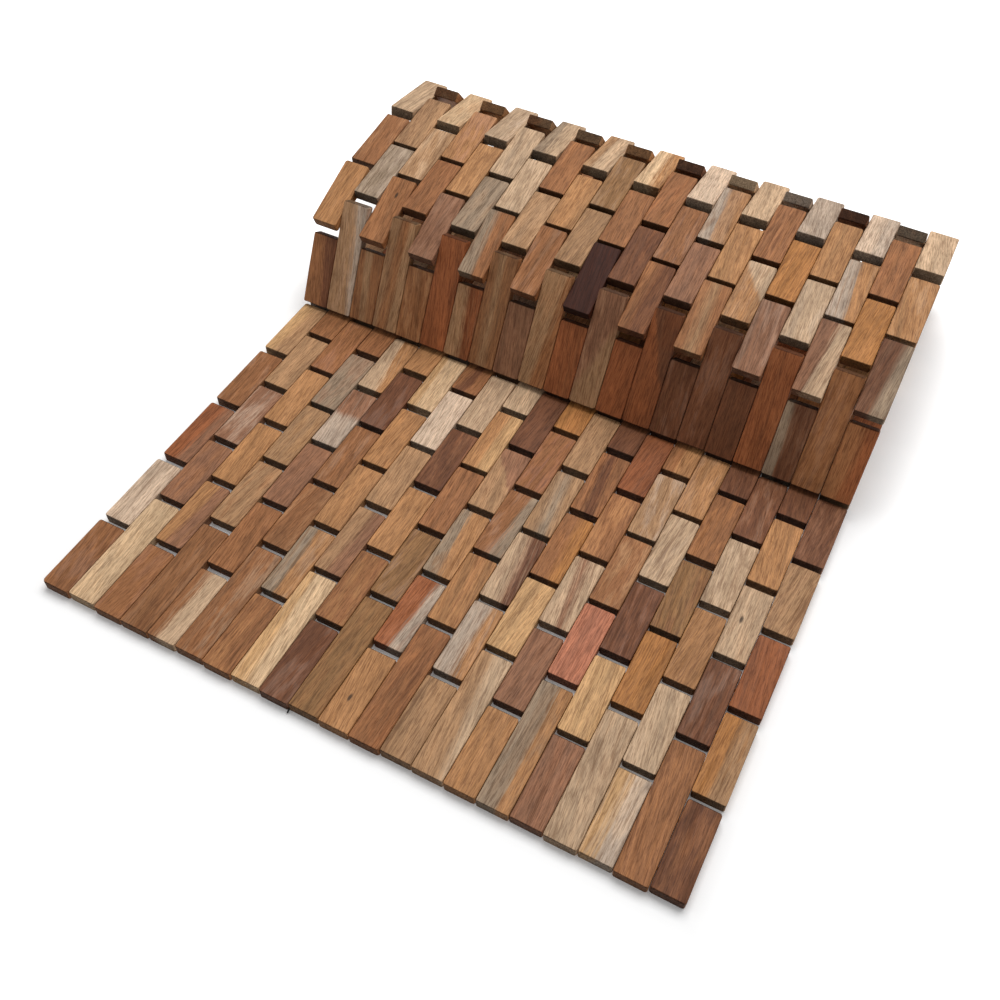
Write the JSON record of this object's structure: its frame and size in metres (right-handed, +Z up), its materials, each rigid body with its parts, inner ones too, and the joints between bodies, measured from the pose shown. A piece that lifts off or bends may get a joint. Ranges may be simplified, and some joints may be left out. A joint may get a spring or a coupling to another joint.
{
  "type": "slatted bath mat",
  "caption": "Roll-up wooden bath mat of small slats strung on cords, standing with its rear half rolled up.",
  "frame": {"origin": "centre of the whole mat's box on the floor, in the half-rolled pose", "axes": "+Z up, +Y from the flat front edge towards the rolled end, +X to the right across the mat, parallel to the cords"},
  "size_m": [0.4196, 0.5164, 0.1017],
  "materials": {
    "teak": "oiled matt, each slat its own tone, tan to dark brown",
    "cord": "matt black braided cord"
  },
  "bodies": {
    "front_plate": {"front_slat_01": "teak", "front_slat_02": "teak", "front_slat_03": "teak", "front_slat_04": "teak", "front_slat_05": "teak", "front_slat_06": "teak", "front_slat_07": "teak", "front_slat_08": "teak", "front_slat_09": "teak", "front_slat_10": "teak", "front_slat_11": "teak", "front_slat_12": "teak", "front_slat_13": "teak", "front_slat_14": "teak", "front_slat_15": "teak", "front_slat_16": "teak", "front_slat_17": "teak", "front_slat_18": "teak", "front_slat_19": "teak", "front_slat_20": "teak", "front_slat_21": "teak", "front_cord_1": "cord", "front_cord_2": "cord"},
    "row_odd_02_body": {"row_odd_02": "teak"},
    "row_even_02_body": {"row_even_02": "teak"},
    "row_odd_03_body": {"row_odd_03": "teak"},
    "row_even_03_body": {"row_even_03": "teak"},
    "row_odd_04_body": {"row_odd_04": "teak"},
    "row_even_04_body": {"row_even_04": "teak"},
    "row_odd_05_body": {"row_odd_05": "teak"},
    "row_even_05_body": {"row_even_05": "teak"},
    "row_odd_06_body": {"row_odd_06": "teak"},
    "row_even_06_body": {"row_even_06": "teak"},
    "row_odd_07_body": {"row_odd_07": "teak"},
    "row_even_07_body": {"row_even_07": "teak"},
    "row_odd_08_body": {"row_odd_08": "teak"},
    "row_even_08_body": {"row_even_08": "teak"},
    "row_odd_09_body": {"row_odd_09": "teak"},
    "row_even_09_body": {"row_even_09": "teak"},
    "row_odd_10_body": {"row_odd_10": "teak"},
    "row_even_10_body": {"row_even_10": "teak"},
    "row_odd_11_body": {"row_odd_11": "teak"},
    "row_even_11_body": {"row_even_11": "teak"},
    "row_odd_12_body": {"row_odd_12": "teak"},
    "row_even_12_body": {"row_even_12": "teak"},
    "row_odd_13_body": {"row_odd_13": "teak"},
    "end_plate": {"end_row_long": "teak", "end_slat_01": "teak", "end_slat_03": "teak", "end_slat_05": "teak", "end_slat_07": "teak", "end_slat_09": "teak", "end_slat_11": "teak", "end_slat_13": "teak", "end_slat_15": "teak", "end_slat_17": "teak", "end_slat_19": "teak", "end_slat_21": "teak", "end_cord_1": "cord", "end_cord_2": "cord"}
  },
  "joints": [
    {"name": "line_03", "type": "hinge", "parent": "row_odd_02_body", "child": "front_plate", "pos_m": [0, -0.18824, 0.00392], "axis": [-1, 0, 0], "range_deg": [0, 60]},
    {"name": "line_04", "type": "hinge", "parent": "row_even_02_body", "child": "row_odd_02_body", "pos_m": [0, -0.15924, 0.00392], "axis": [-1, 0, 0], "range_deg": [0, 45]},
    {"name": "line_05", "type": "hinge", "parent": "row_odd_03_body", "child": "row_even_02_body", "pos_m": [0, -0.13024, 0.00392], "axis": [-1, 0, 0], "range_deg": [0, 38]},
    {"name": "line_06", "type": "hinge", "parent": "row_even_03_body", "child": "row_odd_03_body", "pos_m": [0, -0.10124, 0.00392], "axis": [-1, 0, 0], "range_deg": [0, 32]},
    {"name": "line_07", "type": "hinge", "parent": "row_odd_04_body", "child": "row_even_03_body", "pos_m": [0, -0.07224, 0.00392], "axis": [-1, 0, 0], "range_deg": [0, 28]},
    {"name": "line_08", "type": "hinge", "parent": "row_even_04_body", "child": "row_odd_04_body", "pos_m": [0, -0.04324, 0.00392], "axis": [-1, 0, 0], "range_deg": [0, 25]},
    {"name": "line_09", "type": "hinge", "parent": "row_odd_05_body", "child": "row_even_04_body", "pos_m": [0, -0.01424, 0.00392], "axis": [-1, 0, 0], "range_deg": [0, 22]},
    {"name": "line_10", "type": "hinge", "parent": "row_even_05_body", "child": "row_odd_05_body", "pos_m": [0, 0.01476, 0.00392], "axis": [-1, 0, 0], "range_deg": [0, 20]},
    {"name": "line_11", "type": "hinge", "parent": "row_even_05_body", "child": "row_odd_06_body", "pos_m": [0, 0.04376, 0.00392], "axis": [-1, 0, 0], "range_deg": [0, 12]},
    {"name": "line_12", "type": "hinge", "parent": "row_odd_06_body", "child": "row_even_06_body", "pos_m": [0, 0.07276, 0.00392], "axis": [-1, 0, 0], "range_deg": [0, 12]},
    {"name": "line_13", "type": "hinge", "parent": "row_even_06_body", "child": "row_odd_07_body", "pos_m": [0, 0.10176, 0.00392], "axis": [-1, 0, 0], "range_deg": [0, 12]},
    {"name": "line_14", "type": "hinge", "parent": "row_odd_07_body", "child": "row_even_07_body", "pos_m": [0, 0.13076, 0.00392], "axis": [-1, 0, 0], "range_deg": [0, 12]},
    {"name": "line_15", "type": "hinge", "parent": "row_even_07_body", "child": "row_odd_08_body", "pos_m": [0, 0.15976, 0.00432], "axis": [-1, 0, 0], "range_deg": [0, 12]},
    {"name": "line_16", "type": "hinge", "parent": "row_odd_08_body", "child": "row_even_08_body", "pos_m": [0, 0.18874, 0.00533], "axis": [1, 0, 0], "range_deg": [-7, 0]},
    {"name": "line_17", "type": "hinge", "parent": "row_even_08_body", "child": "row_odd_09_body", "pos_m": [0, 0.21752, 0.00887], "axis": [1, 0, 0], "range_deg": [-6.7, 0]},
    {"name": "line_18", "type": "hinge", "parent": "row_odd_09_body", "child": "row_even_09_body", "pos_m": [0, 0.2457, 0.01574], "axis": [1, 0, 0], "range_deg": [-89.3, 0]},
    {"name": "line_19", "type": "hinge", "parent": "row_even_09_body", "child": "row_odd_10_body", "pos_m": [0, 0.23917, 0.04399], "axis": [1, 0, 0], "range_deg": [-21.5, 0]},
    {"name": "line_20", "type": "hinge", "parent": "row_odd_10_body", "child": "row_even_10_body", "pos_m": [0, 0.22275, 0.06789], "axis": [1, 0, 0], "range_deg": [-5.6, 0]},
    {"name": "line_21", "type": "hinge", "parent": "row_even_10_body", "child": "row_odd_11_body", "pos_m": [0, 0.20407, 0.09008], "axis": [1, 0, 0], "range_deg": [-43.1, 0]},
    {"name": "line_22", "type": "hinge", "parent": "row_odd_11_body", "child": "row_even_11_body", "pos_m": [0, 0.17527, 0.09351], "axis": [1, 0, 0], "range_deg": [-14.6, 0]},
    {"name": "line_23", "type": "hinge", "parent": "row_even_11_body", "child": "row_odd_12_body", "pos_m": [0, 0.14654, 0.08957], "axis": [-1, 0, 0], "range_deg": [0, 20]},
    {"name": "line_24", "type": "hinge", "parent": "row_odd_12_body", "child": "row_even_12_body", "pos_m": [0, 0.11781, 0.08564], "axis": [-1, 0, 0], "range_deg": [0, 20]},
    {"name": "line_25", "type": "hinge", "parent": "row_even_12_body", "child": "row_odd_13_body", "pos_m": [0, 0.08908, 0.0817], "axis": [1, 0, 0], "range_deg": [-13.3, 0]},
    {"name": "line_26", "type": "hinge", "parent": "row_odd_13_body", "child": "end_plate", "pos_m": [0, 0.06202, 0.07126], "axis": [1, 0, 0], "range_deg": [-40.4, 0]}
  ]
}
